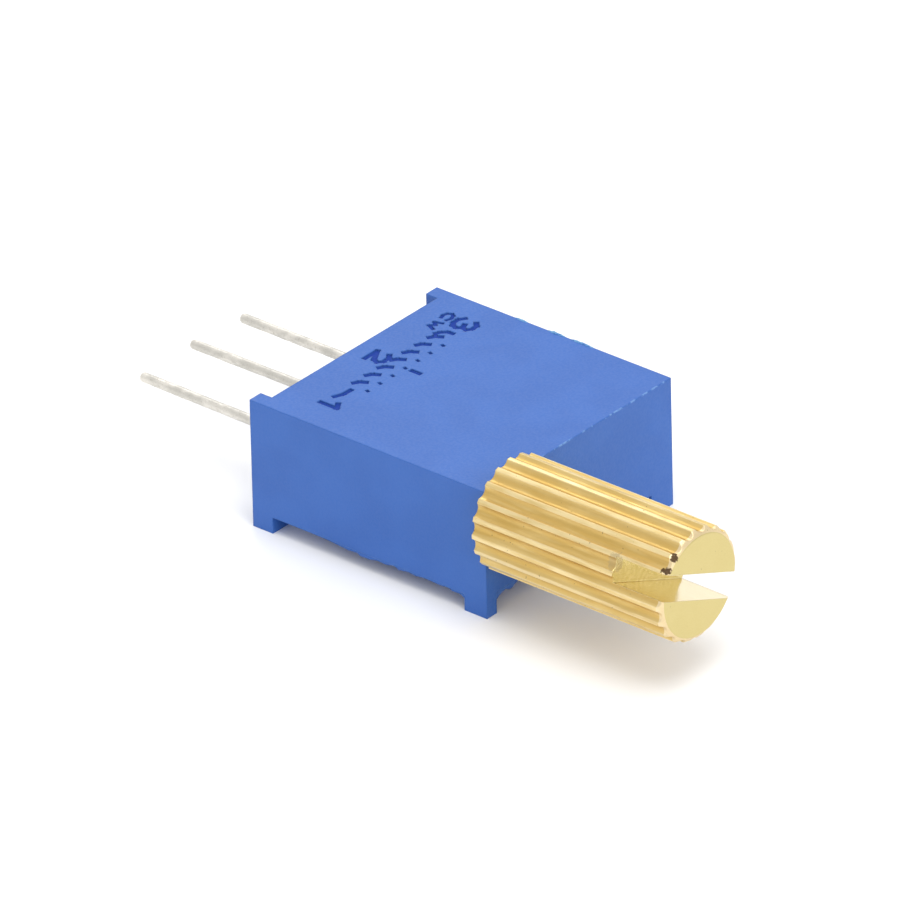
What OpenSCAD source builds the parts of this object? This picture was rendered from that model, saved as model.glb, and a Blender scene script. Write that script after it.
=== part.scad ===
// Worm-driven multi-turn trimmer potentiometer with a knurled shaft.
// Millimetres. Origin: the middle terminal's axis, in the plane of the rail tips.
// +Y points towards the screw end, +Z out of the marked face, and the terminals leave towards -Y.

/* [Case] */
// Width across the side rails
case_width = 9.53; // [8:0.01:14]
// From the rail tips to the screw end
case_length = 9.95; // [9.5:0.01:14]
// From the marked face to the back edge of the walls, feet left out
case_thickness = 4.14; // [4:0.01:6]
// Height of the marked face over the middle terminal's axis
face_height = 2.25; // [2.2:0.01:3]
// How far the side rails stand out past the terminal end
rail_height = 0.48; // [0.2:0.01:1]
// Width of each side rail
rail_width = 0.56; // [0.3:0.01:1]
// Height of the back feet
foot_height = 0.6; // [0.2:0.01:1]
// Length of the two feet at the terminal end
rear_foot_length = 0.85; // [0.4:0.01:1.5]
// Width of the two feet at the terminal end
rear_foot_width = 0.9; // [0.4:0.01:1.5]
// Length of the two feet at the screw end
front_foot_length = 0.95; // [0.4:0.01:1.5]
// Width of the two feet at the screw end
front_foot_width = 0.5; // [0.3:0.01:1.5]
// Width of the front foot at the far side
far_foot_width = 1.1; // [0.3:0.01:1.5]
// How far the screw end's back edge stands short of the side walls
front_edge_relief = 0.2; // [0:0.01:0.4]
// Depth of the engraved marks
mark_depth = 0.07; // [0.02:0.01:0.15]
// Width of the engraved strokes
mark_stroke = 0.2; // [0.08:0.01:0.3]
// Peaks of the engraved resistor symbol
zigzag_peaks = 7; // [3:1:8]
// Spacing of the symbol's peaks
zigzag_pitch = 0.64; // [0.4:0.01:0.7]
// Place of the symbol's first peak
zigzag_x = 1.64; // [1:0.01:2]

/* [Inside of the case] */
// Wall between the side and the substrate's pocket
side_wall = 0.8; // [0.5:0.01:1.5]
// Wall at the terminal end, rails left out
terminal_wall = 0.77; // [0.5:0.01:1.5]
// Wall at the screw end
screw_wall = 1.3; // [1:0.01:2]
// Height of the ledge the substrate sits against, under the middle terminal's axis
ledge_drop = 0.42; // [0.3:0.01:0.8]
// Radial gap round the wheel in its pocket
wheel_gap = 0.2; // [0.1:0.01:0.5]
// Gap over the wheel
wheel_top_gap = 0.31; // [0.25:0.01:0.5]
// Radius of the post that the wheel turns on
post_radius = 0.55; // [0.4:0.01:0.8]
// Height of the post's end over the middle terminal's axis
post_end = 0.25; // [0:0.01:0.5]
// Room beside the outer terminals in the terminal bay
bay_margin = 0.66; // [0.4:0.01:0.8]
// Height of the bay's roof over the middle terminal's axis
bay_top = 0.35; // [0.3:0.01:0.6]
// Distance of the terminal bay's inner end from the wheel's axis
bay_to_wheel = 2.55; // [2:0.01:3]

/* [Screw] */
// Distance of the screw's axis from the side and from the marked face
screw_inset = 1.21; // [1.1:0.01:2]
// Worm thread's outer radius
worm_radius = 0.8; // [0.6:0.01:1]
// Worm thread's pitch radius
worm_pitch_radius = 0.62; // [0.5:0.01:0.8]
// Worm thread's root radius
worm_root_radius = 0.41; // [0.3:0.01:0.6]
// Length of the worm thread
worm_length = 5.4; // [4:0.1:7]
// Radial gap round the worm in its channel
channel_gap = 0.05; // [0.03:0.01:0.2]
// Room past the worm's end in its channel
channel_room = 0.15; // [0.05:0.01:0.3]
// How far the screw's pilot reaches into the terminal wall
pilot_reach = 0.1; // [0.05:0.01:0.4]
// Radius of the journal that turns in the bore
journal_radius = 0.85; // [0.7:0.01:1]
// Radial running clearance of each turning piece
running_clearance = 0.03; // [0.02:0.005:0.08]
// Radius of the neck that the clip holds
neck_radius = 0.5; // [0.4:0.01:0.6]
// Thickness of the retaining clip
clip_thickness = 0.28; // [0.2:0.01:0.4]
// Play of the clip on each side
clip_play = 0.04; // [0.02:0.01:0.1]
// Half of the clip's width
clip_half_width = 0.73; // [0.6:0.01:0.9]
// Wall between the worm's channel and the clip's slot
clip_web = 0.3; // [0.2:0.01:0.6]
// Radius of the sealing ring's section
ring_section = 0.15; // [0.1:0.01:0.2]
// Distance of the sealing ring from the screw end
ring_inset = 0.45; // [0.3:0.01:0.8]

/* [Knurled shaft] */
// Outer radius over the ridges
shaft_radius = 2; // [1.5:0.01:3]
// Length of the shaft
shaft_length = 7.88; // [5:0.01:12]
// Gap between the case and the shaft
shaft_gap = 0.1; // [0.05:0.01:0.5]
// Number of grooves round the shaft
groove_count = 20; // [12:1:30]
// Depth of each groove
groove_depth = 0.14; // [0.05:0.01:0.3]
// Radius of each groove
groove_radius = 0.28; // [0.15:0.01:0.4]
// Angle of the grooves round the shaft
groove_turn = -1.7; // [-9:0.1:9]
// Radius of the shaft's end face
end_face_radius = 1.77; // [1.4:0.01:2.9]
// Length of the rounded edge at the shaft's end
edge_length = 0.22; // [0.1:0.01:1]
// Width of the screwdriver slot
slot_width = 0.9; // [0.5:0.01:1.2]
// Depth of the screwdriver slot
slot_depth = 2.08; // [0.5:0.01:2.5]
// Angle of the slot over the marked face's plane
slot_angle = 22; // [0:1:180]
// How far the slot lies off the shaft's axis
slot_offset = 0.05; // [0:0.01:0.2]
// Radius of the screw's spigot inside the shaft
spigot_radius = 0.75; // [0.5:0.01:0.8]
// Length of the screw's spigot
spigot_length = 2.4; // [1:0.1:4]

/* [Wheel and contact] */
// Teeth on the wheel: the screw turns this many times for one turn of the wheel
wheel_teeth = 27; // [20:1:40]
// Tooth height outside the pitch circle
tooth_addendum = 0.16; // [0.1:0.01:0.25]
// Tooth depth inside the pitch circle
tooth_dedendum = 0.22; // [0.1:0.01:0.3]
// Thickness of the toothed rim
rim_thickness = 0.7; // [0.4:0.01:1]
// Play between tooth and thread, along the pitch line
tooth_play = 0.15; // [0.05:0.01:0.2]
// How far the wheel's disc stands under the rim
disc_drop = 0.14; // [0:0.01:0.3]
// Thickness of the contact's sheet
contact_thickness = 0.12; // [0.08:0.01:0.2]
// Gap between the contact's tips and the films, unloaded
contact_gap = 0.015; // [0.005:0.005:0.05]
// Half of the wheel's travel between its stops, in degrees
half_travel = 166.667; // [90:0.1:170]
// Inner radius of the wheel's stop lug
lug_inner_radius = 1.2; // [0.8:0.01:1.6]
// Outer radius of the wheel's stop lug
lug_outer_radius = 2.2; // [1.8:0.01:2.4]
// Gap over the lug and under the case's stop
stop_gap = 0.08; // [0.03:0.01:0.1]
// Outer radius of the contact's sheet
contact_radius = 1.75; // [1.6:0.01:2.2]
// Radius at which the contact touches the collector
collector_contact_radius = 1; // [0.8:0.01:1.2]
// Width of each of the three fingers on the track
finger_width = 0.16; // [0.1:0.01:0.2]
// Width of each of the two fingers on the collector
collector_finger_width = 0.3; // [0.15:0.01:0.4]

/* [Substrate and films] */
// Thickness of the ceramic plate
substrate_thickness = 0.63; // [0.4:0.01:1]
// Thickness of the printed films
film_thickness = 0.04; // [0.02:0.01:0.1]
// Mean radius of the resistive track
track_radius = 2.45; // [2:0.01:3]
// Width of the resistive track
track_width = 0.6; // [0.3:0.01:1]
// Outer radius of the collector ring
collector_radius = 1.25; // [1:0.01:1.6]
// Distance of the films from the substrate's edge
film_margin = 0.15; // [0.05:0.01:0.3]
// Width of the film from the collector to the middle terminal
lead_width = 0.6; // [0.4:0.01:1]
// How far the resin's face stands inside the back edge of the walls
resin_recess = 0.15; // [0.05:0.01:0.4]

/* [Terminals] */
// Spacing of the terminals
terminal_pitch = 2.54; // [2:0.01:5.08]
// Radius of each terminal
terminal_radius = 0.18; // [0.15:0.01:0.35]
// Length of the terminals past the rail tips
terminal_length = 6.6; // [3:0.1:15]
// How far the outer terminals stand nearer the back than the middle one
outer_terminal_drop = 0.17; // [0:0.01:0.5]
// Height of the resin's meniscus round each terminal
meniscus_height = 0.13; // [0.05:0.01:0.3]
// Width of the resin's meniscus at its foot
meniscus_width = 0.3; // [0.1:0.01:0.4]
// How far the resin's face stands inside the case's terminal end
resin_inset = 0.12; // [0.02:0.01:0.3]
// How far the flattened ends reach over the substrate
terminal_overlap = 0.85; // [0.5:0.01:1]
// Length of each terminal's flattened end
flat_length = 1.51; // [0.9:0.01:1.6]
// Width of each terminal's flattened end
flat_width = 0.44; // [0.38:0.01:0.6]
// Thickness of each terminal's flattened end
flat_thickness = 0.24; // [0.15:0.01:0.3]
// Radius of each solder mound at its foot
solder_radius = 0.34; // [0.3:0.01:0.5]
// Radius of each solder mound at its top
solder_top_radius = 0.27; // [0.2:0.01:0.4]
// Thickness of the solder over each terminal
solder_cover = 0.08; // [0.03:0.01:0.15]

/* [Hidden] */
eps = 0.01;
// A step too small to see, between two radii that would otherwise touch
root_step = 0.04;

half_width = case_width / 2;
back_z = face_height - case_thickness;
foot_z = back_z - foot_height;
pocket_half = half_width - side_wall;
pocket_y0 = rail_height + terminal_wall;
pocket_y1 = case_length - screw_wall;
wheel_y = (pocket_y0 + pocket_y1) / 2;
ledge_z = -ledge_drop;
film_top = ledge_z + film_thickness;
outer_z = -outer_terminal_drop;

screw_x = half_width - screw_inset;
screw_z = face_height - screw_inset;
wheel_pitch_radius = screw_x - worm_pitch_radius;
thread_pitch = 2 * PI * wheel_pitch_radius / wheel_teeth;
wheel_tip_radius = wheel_pitch_radius + tooth_addendum;
wheel_root_radius = wheel_pitch_radius - tooth_dedendum;
rim_top = screw_z + rim_thickness / 2;
rim_bottom = screw_z - rim_thickness / 2;
disc_bottom = rim_bottom - disc_drop;
ceiling_z = rim_top + wheel_top_gap;
pocket_radius = wheel_tip_radius + wheel_gap;
channel_radius = worm_radius + channel_gap;
worm_y0 = wheel_y - worm_length / 2;
worm_y1 = wheel_y + worm_length / 2;
clip_y0 = pocket_y1 - clip_thickness - 2 * clip_play;
clip_wall_y0 = clip_y0 - clip_web;
journal_end = case_length + shaft_gap;
ring_y = case_length - ring_inset;
ring_groove = journal_radius - 2 * ring_section - eps;
shaft_end = journal_end + shaft_length;
pilot_radius = worm_root_radius + root_step;
pilot_y0 = pocket_y0 - pilot_reach;
terminal_end = pocket_y0 + terminal_overlap;
flat_y0 = terminal_end - flat_length;
resin_z = back_z + resin_recess;
resin_y = rail_height + resin_inset;
plate_z = ledge_z - substrate_thickness;
bay_half = terminal_pitch + bay_margin;
bay_y1 = wheel_y - bay_to_wheel;
lug_half_angle = 6;
stop_half_angle = 180 - half_travel - lug_half_angle - 0.3;
track_half_angle = 160;

part_color = [0.33, 0.47, 0.80];
brass_color = [0.85, 0.68, 0.33];
tin_color = [0.86, 0.84, 0.80];

// A cylinder along +Y from y0 to y1
module rod_y(x, y0, y1, z, r, fn = 64) {
    translate([x, y1, z])
        rotate([90, 0, 0])
            cylinder(h = y1 - y0, r = r, $fn = fn);
}

// A box given by its two corners
module span(a, b) {
    translate(a)
        cube([b[0] - a[0], b[1] - a[1], b[2] - a[2]]);
}

// One straight engraved stroke between two points of the marked face
module stroke(a, b, w = mark_stroke) {
    dx = b[0] - a[0];
    dy = b[1] - a[1];
    len = sqrt(dx * dx + dy * dy);
    translate([a[0], a[1]])
        rotate(atan2(dy, dx))
            translate([-w / 2, -w / 2])
                square([len + w, w]);
}

module polyline(points, w = mark_stroke) {
    for (i = [0 : len(points) - 2])
        stroke(points[i], points[i + 1], w);
}

// Terminal numbers, turning mark and resistor symbol, engraved as broken strokes
module marks() {
    polyline([[3.2, 2.46], [3.46, 2.62], [3.46, 1.94]]);
    polyline([[-0.3, 1.7], [-0.14, 1.82], [0.14, 1.82], [0.3, 1.68], [0.24, 1.5], [-0.28, 1.2], [0.34, 1.2]]);
    polyline([[-3.7, 2.58], [-3.54, 2.72], [-3.3, 2.72], [-3.14, 2.6], [-3.18, 2.42], [-3.38, 2.34]]);
    polyline([[-3.18, 2.42], [-3.06, 2.24], [-3.1, 2.06], [-3.28, 1.95], [-3.52, 1.95], [-3.7, 2.08]]);
    polyline([[-3.25, 1.68], [-3.42, 1.73], [-3.6, 1.68], [-3.68, 1.55], [-3.6, 1.42], [-3.44, 1.37], [-3.28, 1.42]],
        mark_stroke * 0.7);
    polyline([[-3, 1.7], [-2.91, 1.44], [-2.77, 1.6], [-2.63, 1.44], [-2.52, 1.7]], mark_stroke * 0.7);
    for (i = [0 : zigzag_peaks - 1])
        translate([zigzag_x - zigzag_pitch * i, 0]) {
            polyline([[0.17, 1.98], [0.02, 2.08], [-0.08, 2.25]], mark_stroke * 1.1);
            stroke([zigzag_pitch / 2, 2.64], [zigzag_pitch / 2 + 0.02, 2.7], mark_stroke * 0.6);
        }
    polyline([[2.9, 2.06], [2.62, 2.18], [2.26, 2.2]], mark_stroke);
    polyline([[-2.36, 1.96], [-2.5, 2.04], [-2.66, 2.22], [-2.68, 2.4]], mark_stroke);
    stroke([0.04, 2.96], [0.04, 3.26], mark_stroke);
}

module case_solid() {
    span([-half_width, rail_height, back_z], [half_width, case_length, face_height]);
    for (s = [-1, 1]) {
        span([s > 0 ? half_width - rail_width : -half_width, 0, back_z],
            [s > 0 ? half_width : rail_width - half_width, rail_height + eps, face_height]);
        span([s > 0 ? half_width - rear_foot_width : -half_width, rail_height, foot_z],
            [s > 0 ? half_width : rear_foot_width - half_width, rear_foot_length, back_z + eps]);
        span([s > 0 ? half_width - rail_width : -half_width, 0, foot_z],
            [s > 0 ? half_width : rail_width - half_width, rear_foot_length, back_z + eps]);
        span([s > 0 ? half_width - front_foot_width : -half_width, case_length - front_foot_length, foot_z],
            [s > 0 ? half_width : far_foot_width - half_width, case_length, back_z + eps]);
    }
}

module housing() {
    color(part_color)
    difference() {
        union() {
            difference() {
                case_solid();
                // pocket for the substrate and the resin, open at the back
                span([-pocket_half, pocket_y0, back_z - 1], [pocket_half, pocket_y1, ledge_z]);
                // round pocket for the wheel
                translate([0, wheel_y, ledge_z - eps])
                    cylinder(h = ceiling_z - ledge_z + eps, r = pocket_radius, $fn = 96);
                // channel for the worm
                rod_y(screw_x, worm_y0 - channel_room, clip_wall_y0, screw_z, channel_radius);
                span([wheel_root_radius - root_step, worm_y0 - channel_room, ledge_z - eps],
                    [screw_x, clip_wall_y0, screw_z]);
                // bay for the terminals, open at the terminal end and the back
                span([-bay_half, 0, back_z - 1], [bay_half, bay_y1, bay_top]);
                // slot for the retaining clip
                span([screw_x - clip_half_width - running_clearance, clip_y0, ledge_z - eps],
                    [screw_x + clip_half_width + running_clearance, pocket_y1, screw_z + clip_half_width]);
                // relief of the screw end's back edge
                span([far_foot_width - half_width, pocket_y1, back_z - 1],
                    [half_width - front_foot_width, case_length + 1, back_z + front_edge_relief]);
                translate([0, 0, face_height - mark_depth])
                    linear_extrude(mark_depth + 1)
                        marks();
            }
            // post that the wheel turns on
            translate([0, wheel_y, post_end])
                cylinder(h = ceiling_z - post_end + eps, r = post_radius, $fn = 64);
            // end stop of the wheel
            translate([0, wheel_y, rim_top + stop_gap])
                linear_extrude(ceiling_z - rim_top - stop_gap + eps)
                    sector(lug_inner_radius, lug_outer_radius, 90 - stop_half_angle, 90 + stop_half_angle);
        }
        // bores for the screw
        rod_y(screw_x, pocket_y1 - eps, case_length + 1, screw_z, journal_radius + running_clearance);
        rod_y(screw_x, clip_wall_y0 - eps, clip_y0 + eps, screw_z, worm_radius + running_clearance);
        rod_y(screw_x, pilot_y0 - pilot_reach, worm_y0, screw_z, pilot_radius + running_clearance);
    }
}

// A flat ring sector
module sector(r0, r1, a0, a1) {
    steps = ceil((a1 - a0) / 6);
    polygon(concat(
        [for (i = [0 : steps]) r1 * [cos(a0 + (a1 - a0) * i / steps), sin(a0 + (a1 - a0) * i / steps)]],
        [for (i = [steps : -1 : 0]) r0 * [cos(a0 + (a1 - a0) * i / steps), sin(a0 + (a1 - a0) * i / steps)]]));
}

module sealing_resin() {
    color([0.30, 0.42, 0.72])
    difference() {
        union() {
            span([-pocket_half, pocket_y0, resin_z], [pocket_half, pocket_y1, plate_z]);
            span([-bay_half, resin_y, resin_z], [bay_half, pocket_y0, bay_top]);
            span([-bay_half, pocket_y0 - eps, resin_z], [bay_half, pocket_y0 + eps, plate_z]);
            for (t = [[-1, outer_z], [0, 0], [1, outer_z]])
                translate([t[0] * terminal_pitch, resin_y - meniscus_height, t[1]])
                    rotate([-90, 0, 0])
                        cylinder(h = meniscus_height + eps, r1 = terminal_radius + root_step,
                            r2 = terminal_radius + meniscus_width, $fn = 48);
        }
        for (t = [[-1, outer_z], [0, 0], [1, outer_z]])
            terminal_shape(t[0] * terminal_pitch, t[1]);
    }
}

// The thread's section across the axis: its radius follows the thread's outline once round
module thread_section() {
    ramp = (worm_radius - worm_root_radius) * tan(20);
    crest = thread_pitch / 2 - tooth_play / 2 - 2 * (worm_radius - worm_pitch_radius) * tan(20);
    half_crest = 180 * crest / thread_pitch;
    half_base = half_crest + 360 * ramp / thread_pitch;
    polygon([for (a = [-180 : 10 : 170])
        let (f = (half_base - abs(a)) / (half_base - half_crest))
        let (r = worm_root_radius + (worm_radius - worm_root_radius) * max(0, min(1, f)))
        [r * cos(a), r * sin(a)]]);
}

module adjusting_screw() {
    turns = worm_length / thread_pitch;
    color(brass_color)
    difference() {
        union() {
            // the right-handed worm, turned so that a thread space faces the wheel's tooth at mid length
            translate([screw_x, worm_y1, screw_z])
                rotate([90, 0, 0])
                    rotate([0, 0, -180 * turns])
                        linear_extrude(worm_length, twist = -360 * turns, slices = ceil(18 * turns))
                            thread_section();
            rod_y(screw_x, pilot_y0, worm_y0 + eps, screw_z, pilot_radius, 36);
            rod_y(screw_x, worm_y1 - eps, clip_y0 - clip_play, screw_z, worm_radius - 2 * eps, 36);
            rod_y(screw_x, clip_y0 - 2 * clip_play, pocket_y1 + 2 * clip_play, screw_z, neck_radius, 36);
            rod_y(screw_x, pocket_y1 + clip_play, journal_end, screw_z, journal_radius, 48);
            rod_y(screw_x, journal_end - eps, journal_end + spigot_length, screw_z, spigot_radius, 48);
        }
        // groove for the sealing ring
        difference() {
            rod_y(screw_x, ring_y - ring_section - running_clearance, ring_y + ring_section + running_clearance,
                screw_z, journal_radius + 1, 48);
            rod_y(screw_x, ring_y - 1, ring_y + 1, screw_z, ring_groove, 48);
        }
    }
}

module groove_outline() {
    difference() {
        circle(r = shaft_radius, $fn = 120);
        for (i = [0 : groove_count - 1])
            rotate((i + 0.5) * 360 / groove_count + groove_turn)
                translate([shaft_radius + groove_radius - groove_depth, 0])
                    circle(r = groove_radius, $fn = 24);
    }
}

// The round bar the knurling is cut in, with a rounded edge at its end
module round_bar() {
    r = shaft_radius + eps;
    rotate_extrude($fn = 120)
        polygon([[0, -1], [r, -1], [r, shaft_length - edge_length],
            [(end_face_radius + 2 * r) / 3, shaft_length - edge_length * 0.45],
            [end_face_radius, shaft_length], [0, shaft_length]]);
}

module knurled_shaft() {
    color(brass_color)
    difference() {
        intersection() {
            translate([screw_x, shaft_end + 1, screw_z])
                rotate([90, 0, 0])
                    linear_extrude(shaft_length + 1)
                        groove_outline();
            translate([screw_x, journal_end, screw_z])
                rotate([-90, 0, 0])
                    round_bar();
        }
        rod_y(screw_x, journal_end - 1, journal_end + spigot_length + running_clearance, screw_z, spigot_radius);
        translate([screw_x, shaft_end - slot_depth, screw_z])
            rotate([0, -slot_angle, 0])
                translate([-shaft_radius - 1, 0, -slot_width / 2 - slot_offset])
                    cube([2 * shaft_radius + 2, slot_depth + 1, slot_width]);
    }
}

module o_ring() {
    color([0.10, 0.10, 0.11])
    translate([screw_x, ring_y, screw_z])
        rotate([90, 0, 0])
            rotate_extrude($fn = 64)
                translate([journal_radius - ring_section + 0.01, 0])
                    circle(r = ring_section, $fn = 24);
}

module retainer_clip() {
    color([0.72, 0.72, 0.70])
    difference() {
        span([screw_x - clip_half_width, clip_y0 + clip_play, ledge_z + 2 * eps],
            [screw_x + clip_half_width, pocket_y1 - clip_play, screw_z + clip_half_width - running_clearance]);
        rod_y(screw_x, clip_y0 - 1, pocket_y1 + 1, screw_z, neck_radius + running_clearance);
        span([screw_x - neck_radius - running_clearance, clip_y0 - 1, ledge_z - 1],
            [screw_x + neck_radius + running_clearance, pocket_y1 + 1, screw_z]);
    }
}

// One tooth of the wheel, pointing along +X
module tooth() {
    half_pitch_line = (thread_pitch - tooth_play) / 4;
    half_tip = half_pitch_line - tooth_addendum * tan(20);
    half_root = half_pitch_line + tooth_dedendum * tan(20);
    polygon([[wheel_root_radius - 0.1, -half_root], [wheel_root_radius, -half_root], [wheel_tip_radius, -half_tip],
        [wheel_tip_radius, half_tip], [wheel_root_radius, half_root], [wheel_root_radius - 0.1, half_root]]);
}

module worm_wheel() {
    color([0.93, 0.91, 0.84])
    translate([0, wheel_y, 0])
        difference() {
            union() {
                translate([0, 0, rim_bottom])
                    linear_extrude(rim_thickness)
                        union() {
                            circle(r = wheel_root_radius, $fn = 96);
                            for (i = [0 : wheel_teeth - 1])
                                rotate(i * 360 / wheel_teeth)
                                    tooth();
                        }
                translate([0, 0, disc_bottom])
                    cylinder(h = disc_drop + eps, r = wheel_root_radius - 0.3, $fn = 96);
                // stop lug, opposite the contact
                translate([0, 0, rim_top - eps])
                    linear_extrude(wheel_top_gap - stop_gap)
                        sector(lug_inner_radius, lug_outer_radius, -90 - lug_half_angle, -90 + lug_half_angle);
            }
            translate([0, 0, disc_bottom - 1])
                cylinder(h = rim_thickness + disc_drop + 2, r = post_radius + running_clearance, $fn = 64);
        }
}

// A contact finger from radius r0 of the sheet down to radius r1 of a film, drawn in the XZ plane
module finger(r0, r1, w) {
    top = disc_bottom - contact_thickness;
    tip = film_top + contact_gap;
    foot = (r1 > r0 ? 1 : -1) * contact_thickness;
    lip = contact_thickness * 2 / 3;
    translate([0, w / 2, 0])
        rotate([90, 0, 0])
            linear_extrude(w)
                polygon([[r0, top + contact_thickness], [r0, top], [r1 - foot, tip], [r1 + foot, tip],
                    [r1 + foot, tip + lip], [r1, tip + lip],
                    [r0 + foot, top + contact_thickness]]);
}

module wiper_spring() {
    color([0.80, 0.62, 0.36])
    translate([0, wheel_y, 0])
        union() {
            translate([0, 0, disc_bottom - contact_thickness])
                linear_extrude(contact_thickness)
                    difference() {
                        circle(r = contact_radius, $fn = 72);
                        circle(r = post_radius + 5 * running_clearance, $fn = 48);
                    }
            for (a = [84, 90, 96])
                rotate(a)
                    finger(contact_radius - 2 * contact_thickness, track_radius, finger_width);
            for (a = [-120, -60])
                rotate(a)
                    finger(contact_radius - contact_thickness, collector_contact_radius, collector_finger_width);
        }
}

module substrate() {
    color([0.95, 0.94, 0.90])
    span([-pocket_half, pocket_y0, plate_z], [pocket_half, pocket_y1, ledge_z]);
}

module film() {
    translate([0, 0, ledge_z])
        linear_extrude(film_thickness)
            children();
}

module resistive_track() {
    color([0.16, 0.15, 0.15])
    film()
        translate([0, wheel_y])
            sector(track_radius - track_width / 2, track_radius + track_width / 2,
                90 - track_half_angle, 90 + track_half_angle);
}

module collector_track() {
    color([0.78, 0.76, 0.70])
    film()
        union() {
            translate([0, wheel_y])
                difference() {
                    circle(r = collector_radius, $fn = 72);
                    circle(r = post_radius, $fn = 48);
                }
            translate([-lead_width / 2, pocket_y0 + film_margin])
                square([lead_width, wheel_y - pocket_y0 - film_margin - sqrt(
                    pow(collector_radius, 2) - pow(lead_width / 2, 2)) + eps]);
        }
}

// The film that joins one end of the track to its terminal, drawn for +X
module end_film() {
    reach = track_radius + track_width / 2;
    union() {
        translate([0, wheel_y])
            sector(track_radius - track_width / 2, reach, -80, 90 - track_half_angle);
        difference() {
            translate([lead_width - 0.05, pocket_y0 + film_margin])
                square([terminal_pitch, wheel_y - pocket_y0 - film_margin - reach + 0.25]);
            translate([0, wheel_y])
                circle(r = reach - eps, $fn = 96);
        }
    }
}

module end_conductor_1() {
    color([0.78, 0.76, 0.70])
    film()
        end_film();
}

module end_conductor_3() {
    color([0.78, 0.76, 0.70])
    film()
        mirror([1, 0])
            end_film();
}

// A round wire with its inner end flattened
module terminal_shape(x, z) {
    rod_y(x, -terminal_length, flat_y0 + eps, z, terminal_radius, 48);
    span([x - flat_width / 2, flat_y0, z - flat_thickness / 2],
        [x + flat_width / 2, terminal_end, z + flat_thickness / 2]);
}

module terminal(x, z) {
    color(tin_color)
    union() {
        terminal_shape(x, z);
    }
}

module terminal_1() {
    terminal(terminal_pitch, outer_z);
}

module terminal_2() {
    terminal(0, 0);
}

module terminal_3() {
    terminal(-terminal_pitch, outer_z);
}

module solder(x, z) {
    color([0.80, 0.80, 0.80])
    difference() {
        translate([x, terminal_end - solder_radius - eps, film_top])
            cylinder(h = z + flat_thickness / 2 + solder_cover - film_top, r1 = solder_radius,
                r2 = solder_top_radius, $fn = 36);
        terminal_shape(x, z);
    }
}

module solder_1() {
    solder(terminal_pitch, outer_z);
}

module solder_2() {
    solder(0, 0);
}

module solder_3() {
    solder(-terminal_pitch, outer_z);
}

housing();
sealing_resin();
adjusting_screw();
knurled_shaft();
o_ring();
retainer_clip();
worm_wheel();
wiper_spring();
substrate();
resistive_track();
collector_track();
end_conductor_1();
end_conductor_3();
terminal_1();
terminal_2();
terminal_3();
solder_1();
solder_2();
solder_3();
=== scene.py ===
# %% [markdown]
# # A trimmer with a knurled brass shaft
# The real object is a multi-turn trimmer potentiometer about 10 mm across: a moulded case, three
# tinned wires, and a worm screw that carries a knurled brass shaft. Its hard shapes are already
# exact in the packed model, so the model is loaded as a fixed frame and its box is kept. Everything
# after this adds finishes and the few soft-edged shapes, and nothing moves a packed node.

# %% Load the frame and keep its box
import math
import random

import bpy
from mathutils import Matrix, Vector


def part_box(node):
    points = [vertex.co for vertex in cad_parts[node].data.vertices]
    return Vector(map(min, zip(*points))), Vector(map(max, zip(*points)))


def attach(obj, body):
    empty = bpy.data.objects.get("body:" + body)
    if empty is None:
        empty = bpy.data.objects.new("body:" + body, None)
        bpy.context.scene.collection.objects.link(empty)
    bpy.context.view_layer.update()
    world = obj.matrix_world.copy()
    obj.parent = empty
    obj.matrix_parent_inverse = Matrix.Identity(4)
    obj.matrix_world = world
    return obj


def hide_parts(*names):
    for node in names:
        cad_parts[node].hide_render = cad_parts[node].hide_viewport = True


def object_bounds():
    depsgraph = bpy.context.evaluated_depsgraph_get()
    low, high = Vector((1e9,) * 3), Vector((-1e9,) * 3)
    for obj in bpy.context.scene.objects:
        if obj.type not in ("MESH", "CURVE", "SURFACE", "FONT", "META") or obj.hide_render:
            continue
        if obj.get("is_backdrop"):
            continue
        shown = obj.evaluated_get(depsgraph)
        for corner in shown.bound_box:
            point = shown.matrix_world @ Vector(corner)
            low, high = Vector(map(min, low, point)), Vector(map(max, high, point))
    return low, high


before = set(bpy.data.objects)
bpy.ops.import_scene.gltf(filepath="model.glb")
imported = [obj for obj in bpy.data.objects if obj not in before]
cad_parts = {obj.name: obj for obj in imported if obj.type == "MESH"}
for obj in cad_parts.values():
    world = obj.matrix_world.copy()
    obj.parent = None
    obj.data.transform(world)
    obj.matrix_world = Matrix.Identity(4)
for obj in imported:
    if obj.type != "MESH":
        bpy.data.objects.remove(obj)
cad_low, cad_high = (Vector(corner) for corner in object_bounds())
MM = 0.001
print("nodes", len(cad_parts), "box in mm", [round(v / MM, 2) for v in cad_high - cad_low])

# %% [markdown]
# Small products are photographed with a long lens from far away, so that parallel edges stay almost
# parallel. The camera is given as a direction, a distance and a slight roll. The three axes of the
# camera are worked out with plain vectors, because a look-at constraint could not hold the roll.


# %% Place the camera
def camera_axes(azimuth, elevation, roll):
    """Right, up and backward directions; azimuth 0 looks along +Y, and 90 looks along -X."""
    a, e, r = (math.radians(v) for v in (azimuth, elevation, roll))
    back = Vector((math.cos(e) * math.sin(a), -math.cos(e) * math.cos(a), math.sin(e)))
    level = Vector((math.cos(a), math.sin(a), 0))
    above = back.cross(level)
    right = level * math.cos(r) + above * math.sin(r)
    return right, back.cross(right), back


def facing(axes, middle):
    """The matrix of a camera or a lamp at a place, from its right, up and backward directions."""
    right, up, back = axes
    return Matrix((
        (right.x, up.x, back.x, middle.x),
        (right.y, up.y, back.y, middle.y),
        (right.z, up.z, back.z, middle.z),
        (0, 0, 0, 1)))


AZIMUTH, ELEVATION, ROLL = 130.52, 29.55, -1.383  # degrees
LENS, SENSOR_WIDTH = 762.04, 36  # millimetres
AIM = Vector((0.736, 5.098, 0.324)) * MM  # the place in the middle of the picture
DISTANCE = 621.6  # millimetres from that place to the camera

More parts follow.
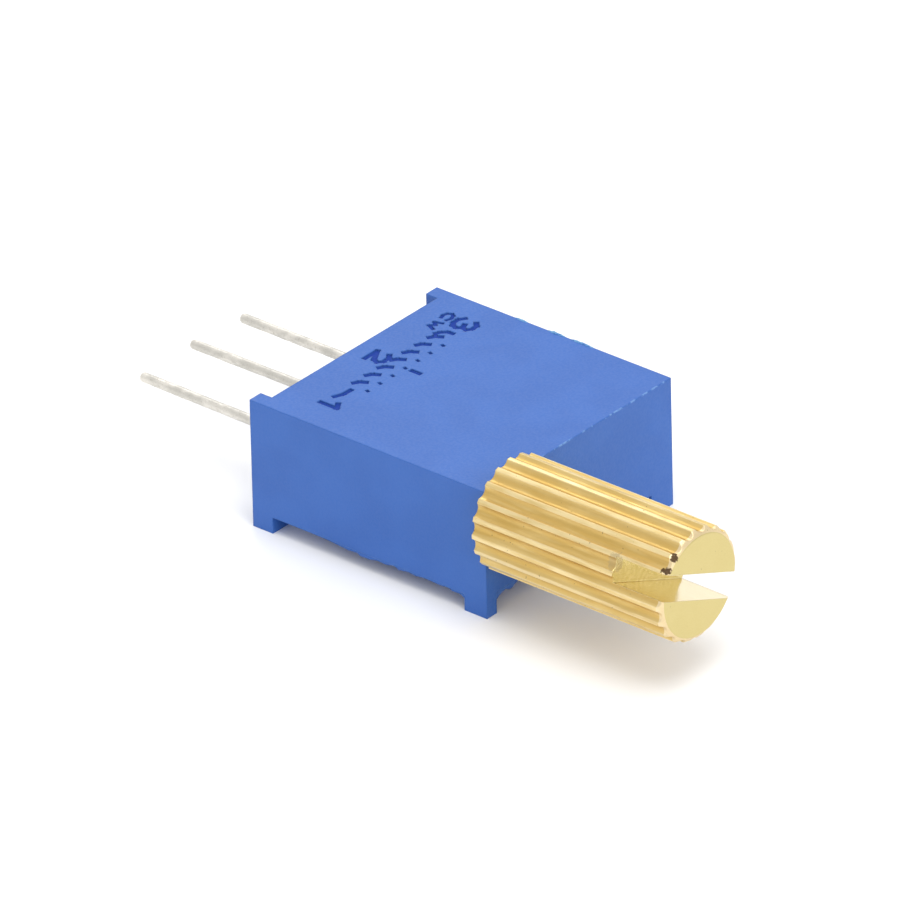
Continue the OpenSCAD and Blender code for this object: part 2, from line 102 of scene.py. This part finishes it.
camera_data = bpy.data.cameras.new("camera")
camera_data.lens, camera_data.sensor_width, camera_data.clip_start = LENS, SENSOR_WIDTH, 0.01
camera = bpy.data.objects.new("camera", camera_data)
bpy.context.scene.collection.objects.link(camera)
view_axes = camera_axes(AZIMUTH, ELEVATION, ROLL)
eye = AIM + view_axes[2] * DISTANCE * MM
camera.matrix_world = facing(view_axes, eye)
bpy.context.scene.camera = camera
print("camera at", [round(v, 3) for v in eye])

# %% [markdown]
# A finish in Blender is a graph of nodes, and much of it is arithmetic on masks. Written node by
# node that arithmetic is hard to read. The class below wraps one output, so that 1 - mask or
# height * 2 + noise in Python adds the Math nodes itself. Only numbers go through it: a Math node
# would turn a colour grey.


# %% A wire that does sums
class Wire:
    """One output of a node tree, for arithmetic."""

    def __init__(self, finish, socket):
        self.finish, self.socket = finish, socket

    def sum(self, operation, first, second=0.0):
        return self.finish.add("Math", {"operation": operation}, {0: first, 1: second})

    def __add__(self, other): return self.sum("ADD", self, other)
    def __sub__(self, other): return self.sum("SUBTRACT", self, other)
    def __rsub__(self, other): return self.sum("SUBTRACT", other, self)
    def __mul__(self, other): return self.sum("MULTIPLY", self, other)
    def __pow__(self, other): return self.sum("POWER", self, other)
    def __gt__(self, other): return self.sum("GREATER_THAN", self, other)
    def __lt__(self, other): return self.sum("LESS_THAN", self, other)
    def __abs__(self): return self.sum("ABSOLUTE", self)

    def or_more(self, other):
        """The larger of two values."""
        return self.sum("MAXIMUM", self, other)

    def between(self, low, high, soft=0.001):
        """1 where the value lies between low and high, falling to 0 over soft."""
        return self.ramp(low - soft, low) * (1 - self.ramp(high, high + soft))

    def ramp(self, start, end, to_low=0.0, to_high=1.0):
        """Goes smoothly from to_low at start to to_high at end, and stays there."""
        return self.finish.add("MapRange", {"interpolation_type": "SMOOTHSTEP"},
                               {0: self, 1: start, 2: end, 3: to_low, 4: to_high})


print("a wire can do", ", ".join(name for name in vars(Wire) if not name.startswith("__")))

# %% [markdown]
# Every other node comes from one method, add. It takes the node's type, then its settings, then
# what goes into its sockets. Lengths in a finish are easier to judge in millimetres, so each finish
# starts from the object's own coordinates times a thousand, which also stay with a piece as it turns.


# %% A finish and its nodes
class Finish:
    """A material made of nodes."""

    def __init__(self, name):
        self.material = bpy.data.materials.new(name)
        self.material.use_nodes = True
        self.tree = self.material.node_tree
        self.tree.nodes.clear()
        here = self.add("TexCoord", out="Object")
        self.here = self.add("VectorMath", {"operation": "SCALE"}, {"Vector": here, "Scale": 1000.0})
        self.x, self.y, self.z = (self.add("SeparateXYZ", {}, {0: self.here}, out=n) for n in "XYZ")

    def add(self, kind, settings=None, sockets=None, out=0):
        node = self.tree.nodes.new("ShaderNode" + kind)
        for key, value in (settings or {}).items():
            setattr(node, key, value)
        for key, value in (sockets or {}).items():
            if isinstance(value, Wire):
                self.tree.links.new(value.socket, node.inputs[key])
            else:
                node.inputs[key].default_value = value
        return Wire(self, node.outputs[out]) if len(node.outputs) else node


print("a finish starts with object coordinates in millimetres")

# %% [markdown]
# Four helpers cover what nearly every finish here needs: noise at a size in millimetres, a blend of
# two colours, a bump, and the surface itself. A real moulded or turned edge is never quite sharp.
# The Bevel node rounds the shading of each edge without touching the mesh, and how far it turns the
# normal tells where the edges are, which is where the case and the shaft get a painted highlight.


# %% Helpers for noise, colour, edges and the surface
def colour(*levels):
    return (*levels, 1.0)


def noise(finish, size, detail=3.0, stretch=(1, 1, 1), offset=0.0):
    """Noise from 0 to 1 whose features are about size millimetres across; offset picks another part of it."""
    scale = tuple(1 / (size * s) for s in stretch)
    shift = (offset, offset * 2.3, offset * 0.7)
    place = finish.add("VectorMath", {"operation": "MULTIPLY_ADD"}, {0: finish.here, 1: scale, 2: shift})
    return finish.add("TexNoise", {}, {"Vector": place, "Scale": 1.0, "Detail": detail})


def blend(finish, mask, under, over):
    """The colour under, with the colour over laid on it where the mask is 1."""
    return finish.add("Mix", {"data_type": "RGBA"}, {0: mask, 6: under, 7: over}, out=2)


def rounded(finish, radius):
    """The normal with every edge rounded to radius millimetres, and a mask of those edges."""
    soft = finish.add("Bevel", {"samples": 6}, {"Radius": radius * MM})
    sharp = finish.add("NewGeometry", out="Normal")
    match = finish.add("VectorMath", {"operation": "DOT_PRODUCT"}, {0: soft, 1: sharp}, out="Value")
    return soft, (1 - match).ramp(0.01, 0.28)


def bump(finish, height, depth, normal=None):
    """A normal shaped by a height from 0 to 1 that stands for depth millimetres."""
    sockets = {"Strength": 1.0, "Distance": depth * MM, "Height": height}
    if normal is not None:
        sockets["Normal"] = normal
    return finish.add("Bump", {}, sockets)


def surface(finish, **sockets):
    """Ends the finish in a Principled surface; names take _ for a space."""
    named = {key.replace("_", " "): value for key, value in sockets.items()}
    shader = finish.add("BsdfPrincipled", {}, named)
    finish.add("OutputMaterial", {}, {"Surface": shader})
    return finish.material


print("helpers ready")

# %% [markdown]
# The floor is plain and pale, and reaches far past the picture. The light is a studio tent: a bright
# sky all round with soft boxes in it, so that the matt case is lit evenly and the brass has
# something to mirror. A wide box overhead, one at the side and a small one behind brighten the
# ridges of the shaft.

# %% Floor, sky and soft boxes
floor_finish = Finish("floor_paper")
floor_grain = noise(floor_finish, 3.0)
floor_material = surface(
    floor_finish,
    Base_Color=blend(floor_finish, floor_grain, colour(0.90, 0.90, 0.90), colour(0.92, 0.92, 0.92)),
    Roughness=0.9)
floor_mesh = bpy.data.meshes.new("floor")
half, ground = 400 * MM, cad_low.z - 0.002 * MM
corners = [(-half, -half, ground), (half, -half, ground), (half, half, ground), (-half, half, ground)]
floor_mesh.from_pydata(corners, [], [(0, 1, 2, 3)])
floor_mesh.materials.append(floor_material)
floor = bpy.data.objects.new("floor", floor_mesh)
bpy.context.scene.collection.objects.link(floor)
floor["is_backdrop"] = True

sky = bpy.data.worlds.new("sky")
bpy.context.scene.world = sky
sky.use_nodes = True
sky.node_tree.nodes["Background"].inputs["Color"].default_value = colour(1.0, 1.0, 1.0)
sky.node_tree.nodes["Background"].inputs["Strength"].default_value = 0.92
bpy.context.scene.view_settings.view_transform = "Standard"


OBJECT_MIDDLE = Vector((0, 7, 0)) * MM


def soft_box(name, azimuth, elevation, distance, width, height, power):
    """A flat lamp that faces the middle of the object; angles in degrees, lengths in mm, power in watts."""
    lamp = bpy.data.lights.new(name, "AREA")
    lamp.shape, lamp.size, lamp.size_y, lamp.energy = "RECTANGLE", width * MM, height * MM, power
    holder = bpy.data.objects.new(name, lamp)
    lamp_axes = camera_axes(azimuth, elevation, 0)
    holder.matrix_world = facing(lamp_axes, OBJECT_MIDDLE + lamp_axes[2] * distance * MM)
    bpy.context.scene.collection.objects.link(holder)
    return holder


lamps = [
    soft_box("top_box", 150, 75, 300, 200, 200, 0.42),
    soft_box("back_box", 318, 40, 300, 70, 70, 0.08),
    soft_box("side_box", 160, 25, 300, 160, 110, 0.15),
]
print("floor at", round(ground / MM, 3), "mm,", len(lamps), "soft boxes")

# %% [markdown]
# The case is moulded in blue plastic. Its faces are nearly matt, with faint cloudy flow marks and a
# very fine spark-eroded grain. The engraved marks are cut shapes already, but they look darker than
# the face because little light reaches their floor, so a mask made from the depth under the face
# deepens the colour there. Edges carry a painted highlight in a lighter blue, and the edge along the screw
# end is nicked pale.

# %% Moulded blue plastic
case_low, case_high = (Vector(corner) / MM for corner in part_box("housing"))
case_finish = Finish("moulded_blue")
case_normal, case_edge_highlight = rounded(case_finish, 0.07)
clouds = noise(case_finish, 2.2, 2.0)
grain = noise(case_finish, 0.09, 2.0, offset=3.1)
case_blue = blend(case_finish, clouds.ramp(0.35, 0.65),
                  colour(0.019, 0.104, 0.405), colour(0.023, 0.114, 0.430))
FACE_START, END_MARGIN, SIDE_MARGIN = 0.75, 0.3, 0.25  # millimetres of the marked face with no marks
DEEPEST_MARK = 0.2
inside_marks = (case_finish.y.between(FACE_START, case_high.y - END_MARGIN, 0.05)
                * abs(case_finish.x).between(-1, case_high.x - SIDE_MARGIN, 0.05)
                * (case_finish.z > case_high.z - DEEPEST_MARK))
depth_mask = inside_marks * (case_high.z - case_finish.z).ramp(0.012, 0.06)
case_blue = blend(case_finish, depth_mask * 0.92, case_blue, colour(0.0, 0.030, 0.28))
# Painted highlight: the rounded edges are painted a lighter blue.
case_blue = blend(case_finish, case_edge_highlight * 0.45, case_blue, colour(0.045, 0.16, 0.52))
to_end = abs(case_finish.y - case_high.y).or_more(abs(case_finish.z - case_high.z))
nicks = (1 - to_end.ramp(0.015, 0.06)) * noise(case_finish, 0.22, 3.0, offset=7.7).ramp(0.48, 0.60)
case_blue = blend(case_finish, nicks * 0.7, case_blue, colour(0.17, 0.34, 0.66))
case_bump = bump(case_finish, grain, 0.004, bump(case_finish, clouds, 0.012, case_normal))
case_rough = grain.ramp(0.3, 0.7, 0.42, 0.54) + depth_mask * 0.4
case_material = surface(case_finish, Base_Color=case_blue, Roughness=case_rough, Normal=case_bump, IOR=1.5)
print("case finish has", len(case_finish.tree.nodes), "nodes")

# %% [markdown]
# The back and the terminal end are closed with a poured epoxy. It settles level and glossy, pulls
# up a little at the walls and the wires, and traps a few tiny bubbles. Its colour is close to the
# case but deeper. Smooth waves in the bump and round pits from a Voronoi texture give that look.

# %% Poured resin
resin_finish = Finish("poured_resin")
resin_normal, resin_edge = rounded(resin_finish, 0.12)
waves = noise(resin_finish, 1.6, 1.0, offset=1.7)
cells = resin_finish.add("TexVoronoi", {}, {"Vector": resin_finish.here, "Scale": 2.1, "Randomness": 1.0})
pits = 1 - cells.ramp(0.04, 0.10)
resin_blue = blend(resin_finish, waves.ramp(0.3, 0.7), colour(0.034, 0.095, 0.36), colour(0.046, 0.120, 0.42))
resin_blue = blend(resin_finish, pits * 0.6, resin_blue, colour(0.02, 0.05, 0.22))
resin_bump = bump(resin_finish, waves - pits * 0.4, 0.09, resin_normal)
resin_material = surface(resin_finish, Base_Color=resin_blue, Roughness=waves.ramp(0.3, 0.7, 0.16, 0.26),
                         Normal=resin_bump, IOR=1.55)
print("resin finish has", len(resin_finish.tree.nodes), "nodes")

# %% [markdown]
# The shaft is turned brass, pressed through a straight knurling die. The crests are painted paler
# as a painted highlight, the grooves darker and browner as painted shade, and the fine scratches run
# along the shaft. The end face and the slot are cut afterwards, so they are paler and cleaner. A few
# dark specks of swarf and grime stay in the grooves, and dark spots of painted shade sit in the burred
# groove ends at the slot's corner. Distance from the shaft's own axis tells all of these apart.

# %% Knurled brass
shaft_low, shaft_high = (Vector(corner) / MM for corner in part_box("knurled_shaft"))
shaft_x, shaft_z = (shaft_low.x + shaft_high.x) / 2, (shaft_low.z + shaft_high.z) / 2
shaft_radius = (shaft_high.z - shaft_low.z) / 2
GROOVE_DEPTH = 0.2
SLOT_TILT, SLOT_DEPTH, SLOT_HALF_WIDTH, SLOT_OFFSET = math.radians(22), 2.1, 0.46, 0.05
RIM_LENGTH = 0.20
brass_finish = Finish("knurled_brass")
brass_normal, brass_edge_highlight = rounded(brass_finish, 0.05)
off_axis = ((brass_finish.x - shaft_x) ** 2.0 + (brass_finish.z - shaft_z) ** 2.0) ** 0.5
groove_shade_mask = ((1 - off_axis.ramp(shaft_radius - 0.15, shaft_radius - 0.02))
             * (off_axis > shaft_radius - GROOVE_DEPTH))
crest_highlight_mask = off_axis.ramp(shaft_radius - 0.035, shaft_radius - 0.004)
end_face = brass_finish.y > shaft_high.y - 0.02
slot_place = ((brass_finish.z - shaft_z) * math.cos(SLOT_TILT)
              - (brass_finish.x - shaft_x) * math.sin(SLOT_TILT)) + SLOT_OFFSET
in_slot = ((abs(slot_place) < SLOT_HALF_WIDTH) * (brass_finish.y > shaft_high.y - SLOT_DEPTH)
           * (off_axis < shaft_radius - 0.02))
scratches = noise(brass_finish, 0.05, 3.0, stretch=(1, 16, 1), offset=2.0)
streaks = noise(brass_finish, 0.16, 3.0, stretch=(1, 9, 1), offset=3.0)
patches = noise(brass_finish, 0.8, 3.0, stretch=(1, 2.5, 1), offset=5.0)
specks = noise(brass_finish, 0.10, 1.0, offset=9.0).ramp(0.74, 0.80)
brass = blend(brass_finish, patches.ramp(0.3, 0.7), colour(0.66, 0.47, 0.17), colour(0.74, 0.56, 0.24))
# Painted shade: the grooves are painted a darker, browner brass.
brass = blend(brass_finish, groove_shade_mask * streaks.ramp(0.25, 0.6, 0.15, 0.60), brass, colour(0.55, 0.34, 0.07))
# Painted highlight: the crests are painted a paler brass.
brass = blend(brass_finish, crest_highlight_mask * streaks.ramp(0.3, 0.6, 0.15, 0.7), brass, colour(0.90, 0.75, 0.43))
brass = blend(brass_finish, end_face * 0.85, brass, colour(0.64, 0.55, 0.25))
brass = blend(brass_finish, in_slot * 0.7, brass, colour(0.86, 0.75, 0.46))
slot_floor = in_slot * (brass_finish.y < shaft_high.y - SLOT_DEPTH + 0.03)
brass = blend(brass_finish, slot_floor * streaks.ramp(0.3, 0.7, 0.5, 0.95), brass, colour(0.62, 0.51, 0.19))
rim = (brass_finish.y > shaft_high.y - RIM_LENGTH) * (1 - end_face) * (1 - in_slot)
brass = blend(brass_finish, rim * 0.55, brass, colour(0.90, 0.78, 0.56))
# Painted highlight: the rounded edges of the brass are painted paler.
brass = blend(brass_finish, brass_edge_highlight * 0.25, brass, colour(0.90, 0.74, 0.44))
ragged_border = noise(brass_finish, 0.09, 3.0, offset=12.0)


def spot(finish, across, back, above, size):
    """1 within size mm of a place measured from the middle of the end face, with a ragged border."""
    place = (shaft_x + across, shaft_high.y - back, shaft_z + above)
    away = finish.add("VectorMath", {"operation": "DISTANCE"}, {0: finish.here, 1: place}, out="Value")
    return 1 - (away + (ragged_border - 0.5) * 0.22).ramp(size, size + 0.04)


# Painted shade: dark spots in the burred groove ends at the slot's corner.
burr_shade_spots = spot(brass_finish, 1.175, 0.07, 1.50, 0.10)
for place in ((1.105, 0.13, 1.66, 0.08), (1.505, 0.11, 1.18, 0.11), (1.545, 0.23, 1.20, 0.08)):
    burr_shade_spots = burr_shade_spots.or_more(spot(brass_finish, *place))
smudge = spot(brass_finish, 1.645, 2.07, 0.86, 0.32) * patches.ramp(0.35, 0.6, 0.2, 1.0)
brass = blend(brass_finish, smudge * 0.55, brass, colour(0.44, 0.35, 0.20))
# Dark specks of real grime, and the spots of painted shade in the burred groove ends.
brass = blend(brass_finish, (specks * 0.7).or_more(burr_shade_spots * 0.95), brass, colour(0.11, 0.065, 0.035))
brass_bump = bump(brass_finish, scratches, 0.0035, brass_normal)
brass_rough = scratches.ramp(0.3, 0.7, 0.36, 0.50) * (1 - in_slot * 0.6) + specks * 0.3 + burr_shade_spots * 0.3
brass_material = surface(brass_finish, Base_Color=brass, Metallic=1 - specks * 0.7, Roughness=brass_rough,
                         Normal=brass_bump)
print("shaft radius", round(shaft_radius, 3), "mm, nodes", len(brass_finish.tree.nodes))

# %% [markdown]
# The three wires are copper dipped in solder. The dip leaves them grey and creamy, a little lumpy,
# with a blunt rounded tip, and handling bends each one very slightly. A straight cylinder shows none
# of this, so each wire is lofted here from rings whose size and height change a little. Inside the
# case each wire's end is pressed flat, which the same rings do by changing from round to oblong.

# %% Tinned wire
tin_finish = Finish("tinned_wire")
tin_lumps = noise(tin_finish, 0.35, 2.0, stretch=(1, 1.6, 1), offset=4.0)
tin_grain = noise(tin_finish, 0.06, 2.0, offset=6.0)
tin = blend(tin_finish, tin_lumps.ramp(0.35, 0.65), colour(0.59, 0.57, 0.52), colour(0.74, 0.71, 0.65))
tin = blend(tin_finish, tin_grain.ramp(0.60, 0.72) * 0.5, tin, colour(0.42, 0.38, 0.33))
tin_rough = tin_grain.ramp(0.3, 0.7, 0.38, 0.55)
tin_bump = bump(tin_finish, tin_lumps + tin_grain * 0.25, 0.03)
tin_material = surface(tin_finish, Base_Color=tin, Metallic=0.85, Roughness=tin_rough, Normal=tin_bump)
print("wire finish has", len(tin_finish.tree.nodes), "nodes")


# %% Loft one wire from rings
def ring(centre, across, high, square, count=28):
    """Points of an oval ring round centre; square 0 is round, and 1 is nearly oblong."""
    points = []
    for k in range(count):
        turn = 2 * math.pi * k / count
        c, s = math.cos(turn), math.sin(turn)
        power = 1 - 0.62 * square
        points.append(centre + Vector((math.copysign(abs(c) ** power, c) * across, 0,
                                       math.copysign(abs(s) ** power, s) * high)))
    return points


def loft(name, rings):
    """A closed mesh through rings of equal count, with both ends capped."""
    count = len(rings[0])
    faces = []
    for start in range(0, (len(rings) - 1) * count, count):
        for k in range(count):
            beside = (k + 1) % count
            faces.append((start + k, start + beside, start + count + beside, start + count + k))
    last = (len(rings) - 1) * count
    faces += [tuple(range(count))[::-1], tuple(range(last, last + count))]
    mesh = bpy.data.meshes.new(name)
    mesh.from_pydata([point for one in rings for point in one], [], faces)
    mesh.update()
    mesh.shade_smooth()
    piece = bpy.data.objects.new(name, mesh)
    bpy.context.scene.collection.objects.link(piece)
    return piece


RING_GAP, LAST_GAP = 0.11, 0.2  # between rings; all of these but the share are millimetres
TIP_LENGTH, TIP_SHARE = 0.09, 0.72  # the blunt tip, and its end's share of the wire's radius
FLAT_START, PRESSED = 0.75, 0.12  # where the wire turns flat, and half the length it takes
FLAT_ACROSS, FLAT_HIGH = 0.215, 0.115  # half sizes of the flat end


def wire_rings(node, bend, seed):
    """Rings of one wire: blunt tip, lumpy stem bent up by a few hundredths, and the flat end in the case."""
    low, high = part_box(node)
    middle, radius = (low + high) / 2, (high.z - low.z) / 2
    chance = random.Random(seed)
    phases = [chance.uniform(0, 6.28) for _ in range(2)]
    rings = []
    stations = [low.y + d * MM for d in (0, 0.02, 0.05, TIP_LENGTH)]
    while stations[-1] < high.y - LAST_GAP * MM:
        stations.append(stations[-1] + RING_GAP * MM)
    for y in stations + [high.y]:
        out = max(0.0, -y) / -low.y
        tip = min(1.0, TIP_SHARE + (1 - TIP_SHARE) * math.sqrt(min(1.0, (y - low.y) / (TIP_LENGTH * MM))))
        t = y / MM
        lump = 1 + 0.035 * math.sin(4.1 * t + phases[0]) * math.sin(1.7 * t + phases[1]) - 0.03
        flat = min(1.0, max(0.0, (y - FLAT_START * MM + PRESSED * MM) / (2 * PRESSED * MM)))
        across = radius * tip * lump * (1 - flat) + FLAT_ACROSS * MM * flat
        tall = radius * tip * lump * (1 - flat) + FLAT_HIGH * MM * flat
        centre = Vector((middle.x, y, middle.z + out * out * bend * MM))
        rings.append(ring(centre, across, tall, flat))
    return rings


wire_bends = [("terminal_1", 0.03, 11), ("terminal_2", -0.03, 12), ("terminal_3", 0.0, 13)]
for node, bend, seed in wire_bends:
    wire = loft(node + "_wire", wire_rings(node, bend, seed))
    wire.data.materials.append(tin_material)
    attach(wire, "case")
    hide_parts(node)
    print(node, "wire has", len(wire.data.polygons), "faces")

# %% [markdown]
# The mould left thin flash on some edges of the case: three tags on the far top edge, a ragged lip
# under the near wall, and a small blob beside the near foot. Each is a strip lofted from four-point
# rings, and a list of heights along the edge gives the ragged line. The strips start a little inside
# the wall, so they grow out of it instead of standing on it.


# %% Flash on the case's edges
flash_finish = Finish("pale_flash")
flash_noise = noise(flash_finish, 0.12, 2.0, offset=8.0)
flash_blue = blend(flash_finish, flash_noise.ramp(0.35, 0.65),
                   colour(0.05, 0.17, 0.45), colour(0.14, 0.34, 0.56))
flash_material = surface(flash_finish, Base_Color=flash_blue, Roughness=flash_noise.ramp(0.3, 0.7, 0.35, 0.5),
                         Normal=bump(flash_finish, flash_noise, 0.01))
SKIN, TIP, ROOT_IN, ROOT = 0.004, 0.02, 0.09, 0.03  # millimetres inside the wall, and below its edge


def flash_strip(name, places, material, edge, inward, outward):
    """A strip along a straight edge; each place is (distance along it in mm, height in mm)."""
    rings = []
    for along, height in places:
        foot = edge(along)
        rings.append([(foot + step) * MM for step in (
            inward * SKIN - outward * ROOT, inward * SKIN + outward * height * 0.8,
            inward * TIP + outward * height, inward * ROOT_IN - outward * ROOT)])
    strip = loft(name, rings)
    strip.data.materials.append(material)
    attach(strip, "case")
    return strip


def ragged(start, length, height, seed, steps=9):
    """Places and heights of a tag that swells in its middle."""
    chance = random.Random(seed)
    swell = [height * math.sin(math.pi * (k + 0.5) / steps) * chance.uniform(0.55, 1.0) for k in range(steps)]
    return [(start + length * k / (steps - 1), swell[k]) for k in range(steps)]


print("a strip starts", ROOT, "mm inside the wall")

# %% [markdown]
# Each edge is a small function from the distance along it to a place. The lower edge of the near wall
# hangs in uneven drips, and the wall at the screw end has one thick drip next to its foot, so those
# two keep their heights as lists.

# %% Lips, tags and the blob
CASE_THICKNESS, END_RELIEF = 4.14, 0.2
wall_foot = case_high.z - CASE_THICKNESS
in_x, in_y, up_z = Vector((1, 0, 0)), Vector((0, -1, 0)), Vector((0, 0, 1))


def far_edge(y):
    """The top edge of the far wall."""
    return Vector((case_low.x, y, case_high.z))


def low_edge(y):
    """The lower edge of the near wall."""
    return Vector((case_high.x, y, wall_foot))


def end_edge(x):
    """The lower edge of the wall at the screw end, which stops a little higher."""
    return Vector((x, case_high.y, wall_foot + END_RELIEF))


lip = [(2.9, 0.005), (3.3, 0.03), (3.7, 0.07), (4.04, 0.10), (4.30, 0.08), (4.46, 0.07), (4.56, 0.15),
       (4.97, 0.14), (5.28, 0.06), (5.70, 0.08), (5.95, 0.01), (6.07, 0.01), (6.20, 0.09), (6.45, 0.05),
       (6.63, 0.02), (6.94, 0.06), (7.25, 0.01), (7.56, 0.01), (7.97, 0.04), (8.2, 0.005), (8.36, 0.01),
       (8.49, 0.08), (8.80, 0.06), (8.95, 0.14), (9.02, 0.14)]
blob = [(4.30, 0.31), (4.21, 0.30), (4.14, 0.24), (3.98, 0.17), (3.79, 0.13), (3.60, 0.22), (3.49, 0.24),
        (3.32, 0.15), (3.20, 0.10), (3.05, 0.05), (2.9, 0.005)]
flashes = [
    flash_strip("flash_far_a", ragged(3.35, 0.55, 0.06, 21), flash_material, far_edge, in_x, up_z),
    flash_strip("flash_far_b", ragged(4.75, 0.75, 0.09, 22), flash_material, far_edge, in_x, up_z),
    flash_strip("flash_far_c", ragged(5.75, 0.95, 0.08, 23), flash_material, far_edge, in_x, up_z),
    flash_strip("flash_low_lip", lip, case_material, low_edge, -in_x, -up_z),
    flash_strip("flash_foot_blob", blob, case_material, end_edge, in_y, -up_z),
]
print(len(flashes), "strips of flash")

# %% [markdown]
# The worm screw is the same brass, but it never sees a rubbing hand: it is machined, oiled and a bit
# darker. The wheel that it turns is an ivory plastic that slides well, with a faint milky depth. The
# contact under the wheel is thin rolled spring bronze, so its fine lines run one way.

# %% Worm screw, wheel and contact
screw_finish = Finish("machined_brass")
turning = noise(screw_finish, 0.06, 2.0, stretch=(5, 1, 5))
screw_material = surface(
    screw_finish, Metallic=1.0, Roughness=turning.ramp(0.3, 0.7, 0.24, 0.40),
    Base_Color=blend(screw_finish, turning.ramp(0.35, 0.65),
                     colour(0.70, 0.45, 0.15), colour(0.82, 0.57, 0.22)),
    Normal=bump(screw_finish, turning, 0.003, rounded(screw_finish, 0.03)[0]))

wheel_finish = Finish("ivory_plastic")
milk = noise(wheel_finish, 0.9, 3.0)
wheel_material = surface(
    wheel_finish, Roughness=milk.ramp(0.3, 0.7, 0.38, 0.50),
    Base_Color=blend(wheel_finish, milk.ramp(0.35, 0.65), colour(0.74, 0.70, 0.58), colour(0.82, 0.79, 0.68)),
    Normal=bump(wheel_finish, noise(wheel_finish, 0.08), 0.003, rounded(wheel_finish, 0.04)[0]))

contact_finish = Finish("spring_bronze")
rolled = noise(contact_finish, 0.05, 2.0, stretch=(12, 1, 1))
contact_material = surface(
    contact_finish, Metallic=1.0, Roughness=rolled.ramp(0.3, 0.7, 0.22, 0.36),
    Base_Color=blend(contact_finish, rolled.ramp(0.35, 0.65),
                     colour(0.62, 0.37, 0.18), colour(0.74, 0.47, 0.25)),
    Normal=bump(contact_finish, rolled, 0.002, rounded(contact_finish, 0.02)[0]))
print("three inner finishes")

# %% [markdown]
# Under the wheel lies a white alumina plate with printed films: a black resistive arc and silvery
# conductors, both screen printed and fired, so they are slightly grainy. Solder holds the wires'
# flat ends to the films. A steel clip keeps the screw in, and a black rubber ring seals its bore.

# %% Ceramic, films, solder, clip and ring
plate_finish = Finish("fired_alumina")
fired = noise(plate_finish, 0.05, 3.0)
plate_material = surface(
    plate_finish, Roughness=fired.ramp(0.3, 0.7, 0.55, 0.70),
    Base_Color=blend(plate_finish, fired.ramp(0.35, 0.65),
                     colour(0.82, 0.81, 0.77), colour(0.89, 0.88, 0.85)),
    Normal=bump(plate_finish, fired, 0.006))

track_finish = Finish("black_cermet")
paste = noise(track_finish, 0.04, 3.0, offset=2.5)
track_material = surface(
    track_finish, Roughness=paste.ramp(0.3, 0.7, 0.25, 0.45), Metallic=0.2,
    Base_Color=blend(track_finish, paste.ramp(0.62, 0.74),
                     colour(0.022, 0.022, 0.024), colour(0.12, 0.12, 0.12)),
    Normal=bump(track_finish, paste, 0.004))

silver_finish = Finish("silver_film")
silver_grain = noise(silver_finish, 0.05, 3.0, offset=3.5)
silver_material = surface(
    silver_finish, Roughness=silver_grain.ramp(0.3, 0.7, 0.35, 0.55), Metallic=0.9,
    Base_Color=blend(silver_finish, silver_grain.ramp(0.35, 0.65),
                     colour(0.60, 0.58, 0.53), colour(0.74, 0.72, 0.67)),
    Normal=bump(silver_finish, silver_grain, 0.004))

solder_finish = Finish("bright_solder")
pool = noise(solder_finish, 0.25, 2.0, offset=4.5)
solder_material = surface(
    solder_finish, Roughness=pool.ramp(0.3, 0.7, 0.18, 0.34), Metallic=1.0,
    Base_Color=blend(solder_finish, pool.ramp(0.35, 0.65),
                     colour(0.62, 0.62, 0.62), colour(0.76, 0.76, 0.75)),
    Normal=bump(solder_finish, pool, 0.03, rounded(solder_finish, 0.05)[0]))

clip_finish = Finish("spring_steel")
brushed = noise(clip_finish, 0.04, 2.0, stretch=(1, 1, 10))
clip_material = surface(
    clip_finish, Roughness=brushed.ramp(0.3, 0.7, 0.28, 0.42), Metallic=1.0,
    Base_Color=blend(clip_finish, brushed.ramp(0.35, 0.65),
                     colour(0.46, 0.46, 0.45), colour(0.58, 0.58, 0.57)),
    Normal=bump(clip_finish, brushed, 0.002, rounded(clip_finish, 0.02)[0]))

ring_finish = Finish("black_rubber")
bloom = noise(ring_finish, 0.08, 3.0)
ring_material = surface(
    ring_finish, Roughness=bloom.ramp(0.3, 0.7, 0.60, 0.80),
    Base_Color=blend(ring_finish, bloom.ramp(0.4, 0.7),
                     colour(0.018, 0.018, 0.019), colour(0.045, 0.045, 0.046)),
    Normal=bump(ring_finish, bloom, 0.004))
print("six more inner finishes")

# %% [markdown]
# Each packed node keeps its mesh and only swaps the material in its slots. A table from material to
# node names keeps the choice in one place, and the print below it lists any node left without one.

# %% Give every packed node its finish
finishes = {
    case_material: ["housing"],
    resin_material: ["sealing_resin"],
    brass_material: ["knurled_shaft"],
    screw_material: ["adjusting_screw"],
    ring_material: ["o_ring"],
    clip_material: ["retainer_clip"],
    wheel_material: ["worm_wheel"],
    contact_material: ["wiper_spring"],
    plate_material: ["substrate"],
    track_material: ["resistive_track"],
    silver_material: ["collector_track", "end_conductor_1", "end_conductor_3"],
    tin_material: ["terminal_1", "terminal_2", "terminal_3"],
    solder_material: ["solder_1", "solder_2", "solder_3"],
}
finished = set()
for material, names in finishes.items():
    for name in names:
        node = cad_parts[name]
        if not node.material_slots:
            node.data.materials.append(material)
        for place in node.material_slots:
            place.material = material
        finished.add(name)
print("finished", len(finished), "of", len(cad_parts), "left", sorted(set(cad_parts) - finished))

# %% [markdown]
